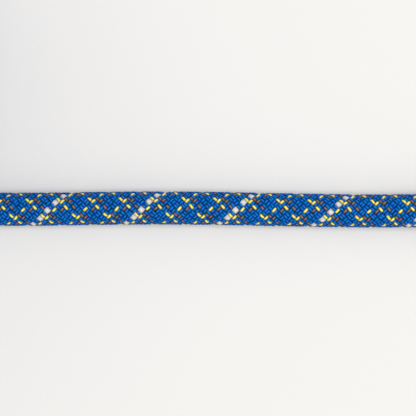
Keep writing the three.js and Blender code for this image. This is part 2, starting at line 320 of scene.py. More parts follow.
def braid_material(rope):
    """The whole braid as a pattern, for the stretches that are wound away, with painted shade in the gaps
    between the yarns.
    """
    graph = Graph("sheath_braid")
    along, around = graph.map_place()
    count = rope.carriers
    left = (along * HANK_TILE + around) * count - LEFT_PHASE * count
    right = (along * HANK_TILE - around) * count - RIGHT_PHASE * count
    left_carrier = graph.maths("FLOOR", left + 0.5)
    right_carrier = graph.maths("FLOOR", right + 0.5)
    left_off, right_off = left - left_carrier, right - right_carrier
    under = (left_carrier + right_carrier) % 2
    over = 1 - under
    across = left_off * over + right_off * under
    lengthwise = right_off * over + left_off * under
    first = across < 0.0
    white = graph.near(left_carrier % count, WHITE_CARRIER) * over
    yellow = (graph.near(left_carrier % 4, LEFT_YELLOW) * over
              + graph.near(right_carrier % 4, RIGHT_YELLOW) * under) * first
    brown = (graph.near(left_carrier % 4, LEFT_BROWN) * over
             + graph.near(right_carrier % 4, RIGHT_BROWN) * under) * first
    repeat = count * HANK_TILE
    cell = (left_carrier % repeat) * 3.7 + (right_carrier % repeat) * 7.9 + under * 17.3
    streaks = graph.noise(graph.place(across * 16.0, lengthwise * 1.6, cell), 1.0, 1.0)
    own = graph.noise(graph.place(cell, first * 4.0, 0.5), 1.0, 0.0)
    light = streaks * 0.6 + own * 0.4

    def shaded(colour):
        return graph.mix(light, scaled(colour, 0.5), scaled(colour, 1.3))

    colour = graph.mix(yellow, shaded(rope.blue), shaded(rope.yellow))
    colour = graph.mix(brown, colour, shaded(rope.brown))
    colour = graph.mix(white, colour, shaded(rope.white))
    pair = abs(abs(across) * 4 - 1)
    single = abs(across * 2)
    section = pair + (single - pair) * white
    arch = abs(lengthwise * 2)
    height = (1 - section * section) * 0.55 + (1 - arch * arch * arch) * 0.45
    # Painted shade: where the braid's height is low, in the gaps between yarns and at the ends of floats,
    # the colour goes to a dark blue.
    painted_gap_shade_mask = graph.maths("SMOOTH_MIN", height * 1.9, 1.0, 0.3)
    colour = graph.mix(painted_gap_shade_mask, scaled(rope.blue, 0.12), colour)
    graph.bump(height + streaks * 0.08, 0.32 * MM, 1.0)
    return graph.finish(colour, 0.62 - streaks * 0.15, YARN_GLOSS)


def core_material():
    graph = Graph("core_yarn")
    along, around = graph.map_place()
    streaks = graph.noise(graph.place(along * 6.0, around * 40.0, 0.0), 1.0)
    graph.bump(streaks, 0.04 * MM)
    colour = graph.mix(streaks, (0.62, 0.60, 0.55), (0.92, 0.91, 0.87))
    return graph.finish(colour, 0.55 + streaks * 0.15, SOFT_SHEEN)


def tape_material():
    graph = Graph("id_tape")
    along, around = graph.map_place()
    wear = graph.noise(graph.place(along * 30.0, around * 3.0, 0.0), 1.0)
    graph.bump(wear, 0.02 * MM)
    return graph.finish(graph.mix(wear, (0.55, 0.47, 0.08), (0.78, 0.70, 0.15)), 0.35 + wear * 0.2)


def band_material(rope):
    """Shrunk sleeve over the sheath: the braid beneath shows through as faint dimples."""
    graph = Graph("end_band")
    along, around = graph.map_place()
    left = graph.maths("SINE", (along * BAND_TURNS + around) * TURN * rope.carriers)
    right = graph.maths("SINE", (along * BAND_TURNS - around) * TURN * rope.carriers)
    grain = graph.noise(graph.place(along * 90.0, around * 60.0, 0.0), 1.0, 3.0)
    graph.bump(left * right * 0.5 + grain * 0.3, 0.12 * MM, 0.9)
    return graph.finish(
        graph.mix(grain, (0.012, 0.013, 0.015), (0.035, 0.036, 0.04)), 0.36 + grain * 0.2)


def tip_material(rope):
    """Melted yarns: dark glossy rim, and the pale ends of the core strands on the face."""
    graph = Graph("fused_tip")
    along, around = graph.map_place()
    flow = graph.noise(graph.place(along * 9.0, graph.maths("SINE", around * TURN) * 2.0,
                                   graph.maths("COSINE", around * TURN) * 2.0), 1.0, 3.0)
    face = graph.smooth(along + flow * 0.12, 0.66, 0.72)
    strands = graph.maths("SINE", around * TURN * 9) * 0.5 + 0.5
    rim = graph.mix(flow, scaled(rope.blue, 0.06), scaled(rope.blue, 0.35))
    core = graph.mix(flow * 0.6 + strands * 0.4, (0.07, 0.055, 0.035), (0.40, 0.36, 0.27))
    graph.bump(flow + strands * face * 0.3, 0.3 * MM, 0.8)
    return graph.finish(graph.mix(face, rim, core), 0.24 + flow * 0.25, {"Coat Weight": 0.2})


def webbing_material():
    """Plain woven tape: fine ribs across."""
    graph = Graph("tie_webbing")
    along, around = graph.map_place()
    warp = graph.maths("SINE", around * TURN * 16)
    weft = graph.maths("SINE", along * TURN * 190)
    weave = graph.maths("MULTIPLY", warp, weft) * 0.5 + 0.5
    fuzz = graph.noise(graph.place(along * 160.0, around * 30.0, 0.0), 1.0, 3.0)
    graph.bump(weave + fuzz * 0.5, 0.12 * MM, 0.9)
    colour = graph.mix(weave * 0.6 + fuzz * 0.4, (0.010, 0.011, 0.013), (0.052, 0.054, 0.06))
    return graph.finish(colour, 0.75 + fuzz * 0.15, SOFT_SHEEN)


def buckle_material():
    graph = Graph("tie_buckle")
    place = graph.node("ShaderNodeTexCoord").outputs["Object"]
    grain = graph.noise(place, 2600.0, 2.0)
    wear = graph.noise(place, 120.0, 3.0)
    graph.bump(grain, 0.03 * MM, 0.6)
    return graph.finish(graph.mix(wear, (0.020, 0.021, 0.023), (0.042, 0.043, 0.046)), 0.38 + grain * 0.15)


def floor_material(colour):
    graph = Graph("stage_floor")
    place = graph.node("ShaderNodeTexCoord").outputs["Object"]
    paper = graph.noise(place, 900.0, 3.0)
    graph.bump(paper, 0.01 * MM, 0.3)
    return graph.finish(graph.mix(paper, scaled(colour, 0.985), scaled(colour, 1.01)), 0.9,
                        {"Specular IOR Level": 0.1})


# --- Routes ---

# Where the tracer yarns sit. Left-hand carriers climb towards +Y along the rope, right-hand ones
# away from it, and the carriers of each hand are counted from where number 0 crosses the top.
WHITE_CARRIER, LEFT_YELLOW, LEFT_BROWN = 0, 1, 2
RIGHT_YELLOW, RIGHT_BROWN = 3, 0
LEFT_PHASE, RIGHT_PHASE = 0.0, 0.969

# The straight stretch, from where it leaves the hank's last turn to the rope's end, and the tail
# in the other fold's eye, in millimetres. The first numbers are distances along X.
STRAIGHT_ROUTE = (
    (-20, 0, 0), (0, 0, 0), (25, 0, 0), (50, 0, 0), (70, -0.1, 0), (83, -0.25, 0),
    (99, -0.2, 0), (115, 0.05, 0), (131, 0.15, 0), (147, 0.05, 0), (163, -0.25, 0),
    (179, -0.55, 0), (195, -0.75, 0), (210, -0.7, 0.4), (222, -0.6, 0.8), (245, -0.4, 0.8),
)
TAIL_ROUTE = (
    (60, 0, 0), (40, 0, 0), (28, 0, 1.6), (17, -0.6, 6), (7, -4, 9.9), (-2, -11, 11.6),
    (-7, -21, 12.6), (-8.5, -32, 13.1), (-8.5, -46, 13.1), (-8.5, -60, 13.1), (-8.5, -72, 13.1),
)
VIEW_START = 83 * MM                # from the fold's centre to the left edge of the camera's view
WHITE_START = 15.9 * MM             # from that edge to where the white carrier crosses the top
DRIFT_FROM, DRIFT_LENGTH = 186 * MM, 120 * MM    # where the braid is a little out of step
BRAID_DRIFT = 0.36 * MM
CROWN = 0.12 * MM                   # how far the yarns' crowns stand out over the rope's radius
SWAY, LUMPS = 0.035, 0.025 * MM      # how far yarns stray, in carriers' spacings and outwards
VIEW_SHIFT = 0.15 * MM              # the rope lies this far under the middle of the view
TIE_PRESS = 1.8 * MM                # how far the tie presses the outermost turns in
CORE_TWIST = 16 * MM                # length in which a core strand's plies go once round
PLY_RADIUS = 0.34 * MM
TIP_LENGTH, BAND_LENGTH = 4 * MM, 26 * MM
SMOOTH_STEP = 4 * MM


def arc(x, z, radius, start, end, share):
    angle = start + (end - start) * share
    return x + radius * math.cos(angle), z + radius * math.sin(angle)


def between(first, second, share):
    return tuple(a + (b - a) * share for a, b in zip(first, second))


class Winding:
    """The plan of one turn, seen from the side, and the order in which the turns are laid."""

    def __init__(self, rope, hank):
        self.rope, self.hank = rope, hank
        self.radius = rope.diameter / 2
        self.stack = (hank.layers - 1) * hank.turn_pitch + self.radius
        self.leg = self.stack
        self.fold_x = (HANK_HIGH[0] - HANK_LOW[0]) / 2 - hank.fold_radius - self.stack
        self.fold_z = self.leg + hank.fold_radius
        self.valley_radius = hank.waist_bend + self.stack - self.radius
        self.valley_x = hank.waist_length / 2
        self.valley_z = self.leg + rope.diameter + self.valley_radius
        apart = math.dist((self.fold_x, self.fold_z), (self.valley_x, self.valley_z))
        self.slope = (math.asin((hank.fold_radius + self.valley_radius) / apart)
                      - math.atan2(self.valley_z - self.fold_z, self.fold_x - self.valley_x))
        self.height = self.valley_z - self.valley_radius + self.stack
        self.side = (hank.columns - 1) * hank.turn_pitch / 2

    def fold(self, side, share, out):
        """A place on the fold at one side, from its lower end to its upper one."""
        x, z = arc(0, 0, self.hank.fold_radius + out, -math.pi / 2, math.pi / 2 + self.slope, share)
        return side * (self.fold_x + x), self.fold_z + z

    def valley(self, side, share, out):
        """A place on the dip at one side, from the slope down to the waist."""
        x, z = arc(0, 0, self.valley_radius - out, self.slope - math.pi / 2, -math.pi / 2, share)
        return side * (self.valley_x + x), self.valley_z + z

    def parts(self):
        """Each part of a turn: its length on the middle layer, and the place at a share of it."""
        middle = self.stack / 2
        fold = (math.pi + self.slope) * (self.hank.fold_radius + middle)
        dip = self.slope * (self.valley_radius - middle)
        ramp = math.dist(self.fold(1, 1, 0), self.valley(1, 0, 0))
        return (
            (2 * self.fold_x, lambda t, o: between(self.fold(-1, 0, o), self.fold(1, 0, o), t)),
            (fold, lambda t, o: self.fold(1, t, o)),
            (ramp, lambda t, o: between(self.fold(1, 1, o), self.valley(1, 0, o), t)),
            (dip, lambda t, o: self.valley(1, t, o)),
            (2 * self.valley_x, lambda t, o: between(self.valley(1, 1, o), self.valley(-1, 1, o), t)),
            (dip, lambda t, o: self.valley(-1, 1 - t, o)),
            (ramp, lambda t, o: between(self.valley(-1, 0, o), self.fold(-1, 1, o), t)),
            (fold, lambda t, o: self.fold(-1, 1 - t, o)),
        )

    def turns(self):
        """The middle line of every turn, innermost first. Turns change places in the left fold."""
        points = []
        hank = self.hank
        parts = self.parts()
        for layer in range(hank.layers):
            columns = range(hank.columns) if layer % 2 else range(hank.columns)[::-1]
            step = 1 if layer % 2 else -1
            for column in columns:
                last = column == columns[-1]
                if last and layer == hank.layers - 1:
                    return points
                for number, (length, at) in enumerate(parts):
                    moving = number == len(parts) - 1
                    count = max(2, round(length / SMOOTH_STEP))
                    for i in range(count):
                        share = i / count
                        moved = share * share * (3 - 2 * share) if moving else 0.0
                        climb = moved if last else 0.0
                        shift = step * (0.26 * math.sin(math.pi * moved) if last else moved)
                        x, z = at(share, (layer + climb) * hank.turn_pitch)
                        points.append((x, (column + shift) * hank.turn_pitch - self.side, z))
        return points

    def squeezed(self, points):
        """The tie presses the turns together at the waist."""
        points = np.array(points)
        near = np.clip((abs(points[:, 0]) - 10.5 * MM) / (24 * MM), 0.0, 1.0)
        press = 1 - near * near * (3 - 2 * near)
        middle = self.height / 2
        points[:, 1] *= 1 - press * TIE_PRESS / (self.side + self.radius)
        points[:, 2] = middle + (points[:, 2] - middle) * (1 - press * TIE_PRESS / middle)
        return points


def smooth_curve(points, step):
    """A centripetal Catmull-Rom curve through points, as evenly spaced places."""
    points = np.array(points, float)
    points = np.vstack([2 * points[0] - points[1], points, 2 * points[-1] - points[-2]])
    knots = np.concatenate([[0], np.cumsum(np.linalg.norm(np.diff(points, axis=0), axis=1) ** 0.5)])
    places = []
    for i in range(1, len(points) - 2):
        (p0, p1, p2, p3), (t0, t1, t2, t3) = points[i - 1:i + 3], knots[i - 1:i + 3]
        t = np.linspace(t1, t2, 24, endpoint=False)[:, None]
        a1 = (t1 - t) / (t1 - t0) * p0 + (t - t0) / (t1 - t0) * p1
        a2 = (t2 - t) / (t2 - t1) * p1 + (t - t1) / (t2 - t1) * p2
        a3 = (t3 - t) / (t3 - t2) * p2 + (t - t2) / (t3 - t2) * p3
        b1 = (t2 - t) / (t2 - t0) * a1 + (t - t0) / (t2 - t0) * a2
        b2 = (t3 - t) / (t3 - t1) * a2 + (t - t1) / (t3 - t1) * a3
        places.append((t2 - t) / (t2 - t1) * b1 + (t - t1) / (t2 - t1) * b2)
    places.append(points[-2:-1])
    return evenly(np.vstack(places), step)


def evenly(points, step):
    """The same line with its places a step apart."""
    gone = np.concatenate([[0], np.cumsum(np.linalg.norm(np.diff(points, axis=0), axis=1))])
    count = max(2, round(gone[-1] / step) + 1)
    at = np.linspace(0, gone[-1], count)
    return np.stack([np.interp(at, gone, axis) for axis in points.T], axis=1)


def settle(points, rounds):
    """Evens out the bends where one part of the route meets the next."""
    points = points.copy()
    for _ in range(rounds):
        points[1:-1] = (points[:-2] + 2 * points[1:-1] + points[2:]) / 4
    return points


class Line:
    """A middle line with its own frame: ahead, up and side at each place, turning as little as it can."""

    def __init__(self, points, up):
        self.points = points
        ahead = np.gradient(points, axis=0)
        self.ahead = ahead / np.linalg.norm(ahead, axis=1)[:, None]
        ups = np.empty_like(points)
        up = np.array(up, float)
        for i, direction in enumerate(self.ahead):
            up = up - direction * (up @ direction)
            up /= np.linalg.norm(up)
            ups[i] = up
        self.up = ups
        self.side = np.cross(self.up, self.ahead)
        self.gone = np.concatenate([[0], np.cumsum(np.linalg.norm(np.diff(points, axis=0), axis=1))])

    @property
    def length(self):
        return float(self.gone[-1])

    def at(self, distance):
        """Place, up and side at distances from the line's start."""
        def read(values):
            return np.stack([np.interp(distance, self.gone, axis) for axis in values.T], axis=1)
        return read(self.points), read(self.up), read(self.side)

    def around(self, distance, angle, radius):
        """Places on a surface round the line. The angle starts at up and goes away from side."""
        place, up, side = self.at(distance)
        out = np.cos(angle)[:, None] * up - np.sin(angle)[:, None] * side
        return place + radius[:, None] * out, out


def routes(rope, hank):
    """The three lines of the rope: in the hank, through the straight stretch, and where they meet."""
    winding = Winding(rope, hank)
    tail = smooth_curve([
        ((x * MM) - winding.fold_x, y * MM + winding.side, z * MM + winding.leg)
        for x, y, z in TAIL_ROUTE], SMOOTH_STEP)[::-1]
    turns = np.array(winding.turns())
    start = int(np.argmax(turns[:, 0] > tail[-1][0] + SMOOTH_STEP / 2))
    leg = winding.leg - (hank.layers - 1) * hank.turn_pitch
    last_leg = np.array([(x, -winding.side, leg) for x in np.linspace(-winding.fold_x, 0, 26)])
    wound = winding.squeezed(np.vstack([tail, turns[start:], last_leg]))
    wound = settle(evenly(wound, SMOOTH_STEP), 2)
    straight = smooth_curve([
        (x * MM + winding.fold_x, y * MM - winding.side, z * MM + winding.radius + CROWN)
        for x, y, z in STRAIGHT_ROUTE], SMOOTH_STEP)
    run_out = np.array([(x, -winding.side, leg) for x in np.linspace(0, straight[0][0] - SMOOTH_STEP, 20)])
    straight = evenly(winding.squeezed(np.vstack([run_out, straight])), 2 * MM)
    hank_line = reversed_line(Line((wound + WAIST)[::-1], (0, 0, 1)))
    return winding, hank_line, Line(straight + WAIST, (0, 0, 1))


def reversed_line(line):
    """The same line and frame, walked from its other end."""
    turned = Line(line.points[::-1].copy(), line.up[-1])
    turned.up = line.up[::-1].copy()
    turned.side = np.cross(turned.up, turned.ahead)
    return turned


# --- Mesh building ---

class Skin:
    """Gathers the vertices, faces, map and material numbers of one mesh."""

    def __init__(self):
        self.vertices, self.faces, self.places, self.slots = [], [], [], []
        self.count = 0

    def tube(self, rings, along, around, slot=0, closed=True):
        """Faces between rings of points. along has one number a ring, around one more than a ring."""
        steps, sides, _ = rings.shape
        base = self.count
        self.vertices.append(rings.reshape(-1, 3))
        self.count += steps * sides
        i, m = (grid.ravel() for grid in np.meshgrid(
            np.arange(steps - 1), np.arange(sides), indexing="ij"))
        n = (m + 1) % sides
        self.faces.append(base + np.stack(
            [i * sides + m, i * sides + n, (i + 1) * sides + n, (i + 1) * sides + m], axis=1))
        self.places.append(np.stack([
            np.stack([along[i], around[m]], 1), np.stack([along[i], around[m + 1]], 1),
            np.stack([along[i + 1], around[m + 1]], 1), np.stack([along[i + 1], around[m]], 1)], axis=1))
        self.slots.append(np.full(len(i), slot))
        if closed:
            for ring, turned in ((0, True), (steps - 1, False)):
                self.cap(base + ring * sides, sides, (along[ring], around[0]), slot, turned)

    def cap(self, first, sides, place, slot, turned):
        """Closes a tube's end with quads across it, which needs an even number of sides."""
        quads = []
        for k in range(sides // 2 - 1):
            quad = [first + k, first + k + 1, first + sides - 2 - k, first + sides - 1 - k]
            quads.append(quad[::-1] if turned else quad)
        self.faces.append(np.array(quads))
        self.places.append(np.tile(np.array(place, float), (len(quads), 4, 1)))
        self.slots.append(np.full(len(quads), slot))

    def piece(self, name, materials):
        vertices = np.vstack(self.vertices)
        faces = np.vstack(self.faces)
        mesh = bpy.data.meshes.new(name)
        mesh.vertices.add(len(vertices))
        mesh.vertices.foreach_set("co", vertices.ravel())
        mesh.loops.add(faces.size)
        mesh.loops.foreach_set("vertex_index", faces.ravel())
        mesh.polygons.add(len(faces))
        mesh.polygons.foreach_set("loop_start", np.arange(0, faces.size, 4))
        mesh.polygons.foreach_set("material_index", np.concatenate(self.slots))
        mesh.update(calc_edges=True)
        mesh.validate()
        mesh.shade_smooth()
        layer = mesh.uv_layers.new(name=MAP)
        layer.uv.foreach_set("vector", np.vstack(self.places).reshape(-1))
        for material in materials:
            mesh.materials.append(material)
        piece = bpy.data.objects.new(name, mesh)
        bpy.context.collection.objects.link(piece)
        return piece


def sections(centre, across, out, half_width, half_height, sides, fullness=1.0):
    """Rings of flat rounded sections along a strand."""
    angle = np.arange(sides) * TURN / sides
    wide = np.sign(np.cos(angle)) * abs(np.cos(angle)) ** fullness * half_width
    high = np.sin(angle) * half_height
    return centre[:, None] + across[:, None] * wide[:, None] + out[:, None] * high[:, None]


# --- Pieces ---

def wander(rng, turns):
    """A smooth irregular swing between about -1 and 1."""
    waves = rng.uniform((3, 0), (15, TURN), (4, 2))
    return sum(np.sin(turns * speed + start) for speed, start in waves) / 2


def make_sheath(rope, line, join_turns):
    """The straight stretch's sheath: two hands of carriers that cross over and under each other."""
    skin = Skin()
    count = rope.carriers
    thickness = rope.wall / 2
    middle = rope.diameter / 2 - thickness + CROWN
    pitch = rope.braid_pitch
    first, last = join_turns, join_turns + (line.length - TIP_LENGTH) / pitch
    steps = round((last - first) * 2 * count * 4) + 1
    turns = np.linspace(first, last, steps)
    distance = (turns - first) * pitch
    stretch = np.clip((distance - DRIFT_FROM) / DRIFT_LENGTH, 0.0, 1.0)
    distance = distance - BRAID_DRIFT * np.sin(math.pi * stretch)
    around = np.linspace(0, 1, 9)
    rng = np.random.default_rng(7)
    for hand in (1, -1):
        phase = LEFT_PHASE if hand > 0 else RIGHT_PHASE
        other = RIGHT_PHASE if hand > 0 else LEFT_PHASE
        for carrier in range(count):
            white = hand > 0 and carrier == WHITE_CARRIER
            for pair in ((0,) if white else (-1, 1)):
                start = phase + (carrier + pair * 0.25) / count
                angle = hand * (start - turns) + SWAY * wander(rng, turns * TURN) / count
                crossing = (2 * turns - start - other) * count
                wave = np.cos(math.pi * (crossing + carrier)) * hand
                wave = np.tanh(wave) / math.tanh(1)
                radius = middle + wave * thickness / 2 + LUMPS * wander(rng, turns * TURN)
                centre, out = line.around(distance, angle * TURN, radius)
                ahead = np.gradient(centre, axis=0)
                ahead /= np.linalg.norm(ahead, axis=1)[:, None]
                across = np.cross(out, ahead)
                spacing = pitch / count / math.hypot(1, pitch / (TURN * middle))
                width = spacing * (0.53 if white else 0.245)
                rings = sections(centre, across, out, width, thickness * 0.52, 8, 0.35 if white else 0.7)
                slot, strips = yarn_kind(hand, carrier, pair)
                strip = rng.integers(*strips)
                top = (phase + other + (pair * 0.25 + (hand < 0)) / count) / 2
                skin.tube(rings, turns - top, (strip + around) / STRIPS, slot)
    return skin


def yarn_kind(hand, carrier, pair):
    """The material and the map's strips for one yarn."""
    yellow, brown = (LEFT_YELLOW, LEFT_BROWN) if hand > 0 else (RIGHT_YELLOW, RIGHT_BROWN)
    if hand > 0 and carrier == WHITE_CARRIER:
        return 3, WHITE_STRIPS
    if pair < 0 and carrier % 4 == yellow:
        return 1, YELLOW_STRIPS
    if pair < 0 and carrier % 4 == brown:
        return 2, BROWN_STRIPS
    return 0, BLUE_STRIPS


def make_wound_rope(rope, line, join_turns):
    """The rope in the hank: one smooth tube, with its map laid along it and round it."""
    sides = 16
    skin = Skin()
    turns = join_turns + (line.gone - line.length) / rope.braid_pitch
    share = np.linspace(0, 1, sides + 1)
    rings = np.stack([
        line.around(line.gone, np.full(len(turns), angle * TURN),
                    np.full(len(turns), rope.diameter / 2))[0]
        for angle in share[:-1]], axis=1)
    skin.tube(rings, turns / HANK_TILE - math.floor(turns[0] / HANK_TILE), share)
    return skin


def make_core_strand(line, node):
    """One core strand: three plies twisted together, where the frame has the strand."""
    low, high = (np.array(corner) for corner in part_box(node))
    offset = (low + high - SHEATH_LOW - SHEATH_HIGH) / 2
    start, end = np.interp([low[0], high[0]], line.points[:, 0], line.gone)
    distance = np.arange(start, end, 0.9 * MM)
    place, up, side = line.at(distance)
    middle = place + offset[1] * side + offset[2] * up
    ahead = np.gradient(middle, axis=0)
    ahead /= np.linalg.norm(ahead, axis=1)[:, None]
    hand = 1 if int(node[-2:]) % 2 else -1
    skin = Skin()
    share = np.linspace(0, 1, 7)
    for ply in range(3):
        twist = hand * distance / CORE_TWIST * TURN + ply * TURN / 3
        out = np.cos(twist)[:, None] * up - np.sin(twist)[:, None] * side
        rings = sections(middle + out * PLY_RADIUS * 1.155, np.cross(out, ahead), out,
                         PLY_RADIUS, PLY_RADIUS, 6)
        skin.tube(rings, distance / CORE_TWIST, share)
    return skin


def make_tape(line):
    """The maker's tape: a thin film ribbon that lies among the outer strands."""
    low, high = (np.array(corner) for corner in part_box("id_tape"))
    offset = (low + high - SHEATH_LOW - SHEATH_HIGH) / 2
    start, end = np.interp([low[0], high[0]], line.points[:, 0], line.gone)
    distance = np.arange(start, end, 2 * MM)
    place, up, side = line.at(distance)
    sway = 0.12 * MM * np.sin(distance / (17 * MM) * TURN)
    out = offset[1] * side + offset[2] * up
    out /= np.linalg.norm(out, axis=1)[:, None]
    middle = place + offset[1] * side + offset[2] * up
    across = np.cross(out, line.ahead[0])
    skin = Skin()
    rings = sections(middle + across * sway[:, None], across, out, 0.6 * MM, 0.1 * MM, 8, 0.5)
    skin.tube(rings, distance / (40 * MM), np.linspace(0, 1, 9))
    return skin


def turned_profile(line, profile, sides, roughen=None):
    """A skin turned round a line: the profile holds distances from the line's end, and radii."""
    profile = np.array(profile) * MM
    gone = np.concatenate([[0], np.cumsum(np.linalg.norm(np.diff(profile, axis=0), axis=1))])
    distance = line.length + profile[:, 0]
    share = np.linspace(0, 1, sides + 1)
    columns = []
    for number, angle in enumerate(share[:-1]):
        radius = profile[:, 1].copy()
        if roughen is not None:
            radius *= roughen(number, len(radius))
        beyond = np.maximum(distance - line.length, 0)[:, None] * line.ahead[-1]
        columns.append(line.around(distance, np.full(len(radius), angle * TURN), radius)[0] + beyond)
    return np.stack(columns, axis=1), gone / gone[-1], share


def make_band(line):
    """A sleeve shrunk over the sheath's end, with its two edges drawn in."""
    start, end = -(TIP_LENGTH + BAND_LENGTH) / MM, -TIP_LENGTH / MM + 0.3
    body = [(start + 0.6 + (end - start - 1.2) * i / 12, 5.72 + 0.03 * math.cos(i * 2.3)) for i in range(13)]
    profile = [(start + 0.3, 5.04), (start, 5.2), (start + 0.05, 5.5), (start + 0.25, 5.66), *body,
               (end - 0.25, 5.66), (end - 0.05, 5.5), (end, 5.2), (end - 0.3, 5.04), (start + 0.3, 5.04)]
    skin = Skin()
    skin.tube(*turned_profile(line, profile, 40), closed=False)
    return skin


def make_tip(line, seed):
    """The melted end: a rounded rim round a slightly dished face."""
    rng = np.random.default_rng(seed)
    waves = rng.uniform(0, TURN, (4, 2))

    def roughen(number, count):
        angle = number / 48 * TURN
        place = np.linspace(0, 3, count)
        swell = sum(np.sin((k + 2) * angle + a + place * b) for k, (a, b) in enumerate(waves))
        return 1 + 0.012 * swell * np.linspace(0, 1, count)

    profile = [(-6, 4.7), (-5, 4.9), (-4, 4.92), (-3, 4.93), (-2, 4.9), (-1.3, 4.75), (-0.75, 4.45),
               (-0.35, 4.05), (-0.1, 3.6), (-0.02, 3.1), (-0.1, 2.5), (-0.22, 1.8), (-0.3, 1.1), (-0.3, 0.4)]
    skin = Skin()
    skin.tube(*turned_profile(line, profile, 48, roughen))
    return skin


def ribbon_path(winding, tie):
    """The tie's line across the waist: over a bar, round the turns, over the other bar and back."""
    half = tie.thickness / 2
    clear = 0.3 * MM
    reach = tie.bar / 2 + 2 * clear + half
    groove = tie.thickness + 2 * clear
    side = (HANK_HIGH[1] - HANK_LOW[1]) / 2 - groove + clear + half
    top = winding.height - groove + clear + half
    bottom = groove - clear - half
    corner = 0.4 * winding.rope.diameter
    bar_y = (tie.window + tie.bar) / 2
    bar_z = top + reach + tie.lift
    path = [(bar_y + 0.8 * tie.width - k * MM, bar_z + reach) for k in range(0, 16)]
    path += [arc(bar_y, bar_z, reach, math.pi / 2, math.pi * 1.5, t / 12) for t in range(13)]
    path += [between((bar_y, bar_z - reach), (side - corner, top), t / 14) for t in range(1, 14)]
    corners = ((1, 1, math.pi / 2, 0), (1, -1, 0, -math.pi / 2), (-1, -1, -math.pi / 2, -math.pi),
               (-1, 1, math.pi, math.pi / 2))
    for y_side, z_side, start, end in corners:
        z = top - corner if z_side > 0 else bottom + corner
        path += [arc(y_side * (side - corner), z, corner, start, end, t / 8) for t in range(9)]
    path += [between((corner - side, top), (-bar_y, bar_z - reach), t / 14) for t in range(1, 14)]
    path += [arc(-bar_y, bar_z, reach, -math.pi / 2, math.pi / 2, t / 12) for t in range(13)]
    path += [(-bar_y - k * MM, bar_z + reach) for k in range(1, 27)]
    return np.array([(0.0, y, z) for y, z in path]), bar_z


def make_strap(winding, tie):
    path, _ = ribbon_path(winding, tie)
    path = evenly(path, 1.2 * MM)
    ahead = np.gradient(path, axis=0)
    ahead /= np.linalg.norm(ahead, axis=1)[:, None]
    across = np.tile((1.0, 0.0, 0.0), (len(path), 1))
    out = np.cross(ahead, across)
    wander = 0.15 * MM * np.sin(np.linspace(0, 9, len(path)))
    rings = sections(path + WAIST + across * wander[:, None], across, out, tie.width / 2,
                     tie.thickness / 2, 24, 0.35)
    gone = np.concatenate([[0], np.cumsum(np.linalg.norm(np.diff(path, axis=0), axis=1))])
    skin = Skin()
    skin.tube(rings, gone / gone[-1], np.linspace(0, 1, 25))
    return skin


def make_buckle(winding, tie):
    """A ladder ring: one rounded bar bent into a rectangle."""
    _, bar_z = ribbon_path(winding, tie)
    long = (tie.width + tie.bar + 1.2 * MM) / 2
    wide = (tie.window + tie.bar) / 2
    corner = tie.bar * 0.8
    path = []
    for x_side, y_side, start in ((1, -1, -0.25), (1, 1, 0.0), (-1, 1, 0.25), (-1, -1, 0.5)):
        path += [arc(x_side * (long - corner), y_side * (wide - corner), corner,
                     start * TURN, (start + 0.25) * TURN, t / 8) for t in range(9)]
    path.append(path[0])
    middle = evenly(np.array([(x, y, bar_z) for x, y in path]), 0.8 * MM)
    ahead = np.gradient(middle, axis=0)
    ahead[0] = ahead[-1] = ahead[0] + ahead[-1]
    ahead /= np.linalg.norm(ahead, axis=1)[:, None]
    up = np.tile((0.0, 0.0, 1.0), (len(middle), 1))
    rings = sections(middle + WAIST, np.cross(up, ahead), up, tie.bar / 2, tie.bar / 2, 16, 0.7)
    skin = Skin()
    skin.tube(rings, np.linspace(0, 1, len(middle)), np.linspace(0, 1, 17), closed=False)
    return skin


# --- Operators ---

def placed(piece, slot, *nodes):
    """Every piece rides on the rope's one body and stands for its nodes of the frame."""
    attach(piece, BODY)
    if nodes:
        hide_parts(*nodes)
    return piece


def planned(context):
    scene = context.scene
    winding, hank_line, straight = routes(scene.rope_sheath, scene.rope_hank)
    join = -(winding.fold_x + VIEW_START + WHITE_START) / scene.rope_sheath.braid_pitch
    return winding, hank_line, straight, join


def rope_ends(context):
    """The name of each end, with a line that runs out to it."""
    _, hank_line, straight, _ = planned(context)
    return ("front", straight), ("tail", reversed_line(hank_line))


